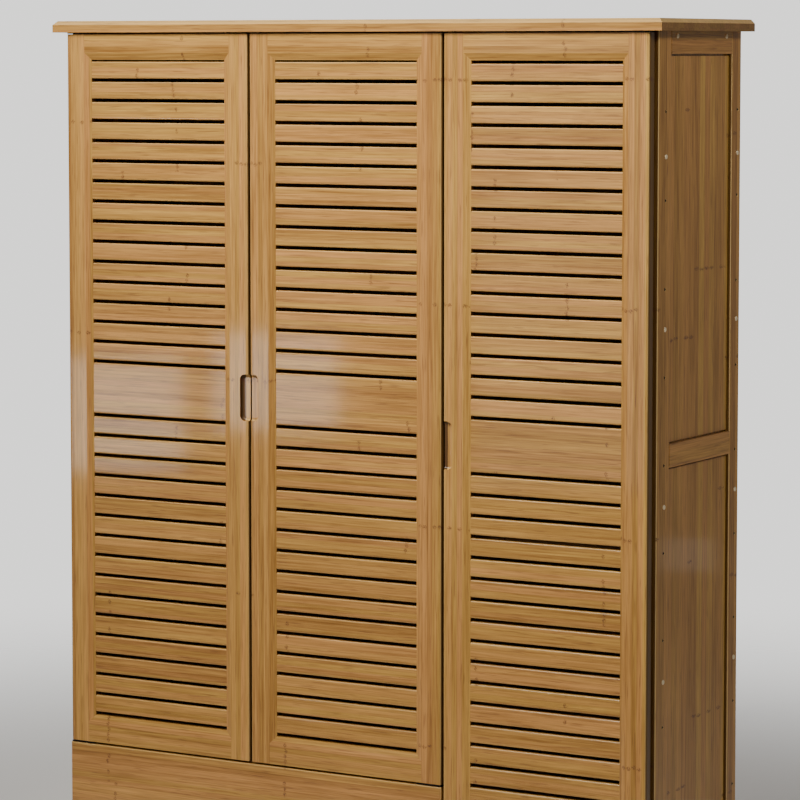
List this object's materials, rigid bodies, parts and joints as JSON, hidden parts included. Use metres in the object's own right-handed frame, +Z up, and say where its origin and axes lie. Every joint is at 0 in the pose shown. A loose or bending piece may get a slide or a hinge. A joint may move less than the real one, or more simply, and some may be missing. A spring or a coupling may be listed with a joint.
{
  "type": "shoe cabinet",
  "caption": "Tall bamboo shoe cabinet with louvred framed doors on pivot hinges, fixed shelves in bays and a drawer on telescopic slides.",
  "frame": {"origin": "on the floor under the middle of the top board, which is the middle of the bounding box's bottom face", "axes": "+Z up, +X to the viewer's right when facing the doors, the doors face -Y"},
  "size_m": [1.186, 0.35, 1.46],
  "materials": {
    "bamboo_vertical": "semi-gloss lacquered bamboo, grain upright",
    "bamboo_horizontal": "semi-gloss lacquered bamboo, grain level",
    "bamboo_inner": "satin lacquered bamboo board",
    "blackened_steel": "blackened steel",
    "nickel": "polished nickel",
    "nylon": "moulded nylon",
    "zinc_steel": "zinc plated",
    "magnet_case": "moulded plastic case"
  },
  "bodies": {
    "carcass": {"back_panel": "bamboo_inner", "bottom_board": "bamboo_inner", "catch_magnets": "magnet_case", "centre_legs": "bamboo_inner", "drawer_deck": "bamboo_inner", "foot_glides": "nylon", "left_bay_shelves": "bamboo_inner", "left_bottom_rail": "bamboo_horizontal", "left_divider": "bamboo_inner", "left_front_stile": "bamboo_vertical", "left_middle_rail": "bamboo_horizontal", "left_rear_stile": "bamboo_vertical", "left_side_panels": "bamboo_vertical", "left_top_rail": "bamboo_horizontal", "lower_pivot_plates": "blackened_steel", "middle_bay_shelves": "bamboo_inner", "right_bay_shelves": "bamboo_inner", "right_bottom_rail": "bamboo_horizontal", "right_divider": "bamboo_inner", "right_front_stile": "bamboo_vertical", "right_middle_rail": "bamboo_horizontal", "right_rear_stile": "bamboo_vertical", "right_side_panels": "bamboo_vertical", "right_top_rail": "bamboo_horizontal", "side_bolts": "nickel", "side_screws": "blackened_steel", "slide_outer_rails": "zinc_steel", "top_board": "bamboo_horizontal", "upper_pivot_plates": "blackened_steel"},
    "drawer": {"drawer_back": "bamboo_inner", "drawer_bottom": "bamboo_inner", "drawer_front": "bamboo_horizontal", "drawer_sides": "bamboo_inner", "slide_inner_rails": "zinc_steel"},
    "slide_middles": {"slide_middle_rails": "zinc_steel"},
    "door_1": {"door_1_bottom_rail": "bamboo_horizontal", "door_1_centre_slat": "bamboo_horizontal", "door_1_hinge_stile": "bamboo_vertical", "door_1_pivot_bushes": "nylon", "door_1_pull_stile": "bamboo_vertical", "door_1_slats": "bamboo_horizontal", "door_1_strike_plate": "blackened_steel", "door_1_top_rail": "bamboo_horizontal"},
    "door_2": {"door_2_bottom_rail": "bamboo_horizontal", "door_2_centre_slat": "bamboo_horizontal", "door_2_hinge_stile": "bamboo_vertical", "door_2_pivot_bushes": "nylon", "door_2_pull_stile": "bamboo_vertical", "door_2_slats": "bamboo_horizontal", "door_2_strike_plate": "blackened_steel", "door_2_top_rail": "bamboo_horizontal"},
    "door_3": {"door_3_bottom_rail": "bamboo_horizontal", "door_3_centre_slat": "bamboo_horizontal", "door_3_hinge_stile": "bamboo_vertical", "door_3_pivot_bushes": "nylon", "door_3_pull_stile": "bamboo_vertical", "door_3_slats": "bamboo_horizontal", "door_3_strike_plate": "blackened_steel", "door_3_top_rail": "bamboo_horizontal"}
  },
  "joints": [
    {"name": "door_1_hinge", "type": "hinge", "parent": "carcass", "child": "door_1", "pos_m": [-0.558, -0.1575, 0.8125], "axis": [0, 0, -1], "range_deg": [0, 105]},
    {"name": "door_2_hinge", "type": "hinge", "parent": "carcass", "child": "door_2", "pos_m": [0.178, -0.1575, 0.8125], "axis": [0, 0, 1], "range_deg": [0, 105]},
    {"name": "door_3_hinge", "type": "hinge", "parent": "carcass", "child": "door_3", "pos_m": [0.558, -0.1575, 0.7545], "axis": [0, 0, 1], "range_deg": [0, 105]},
    {"name": "drawer_slide", "type": "slide", "parent": "carcass", "child": "drawer", "axis": [0, -1, 0], "range_m": [0, 0.24]},
    {"name": "slide_middle_travel", "type": "slide", "parent": "carcass", "child": "slide_middles", "axis": [0, -1, 0], "range_m": [0, 0.12]}
  ],
  "couplings": [
    {"joint": "slide_middle_travel", "follows": "drawer_slide", "ratio": 0.5}
  ]
}
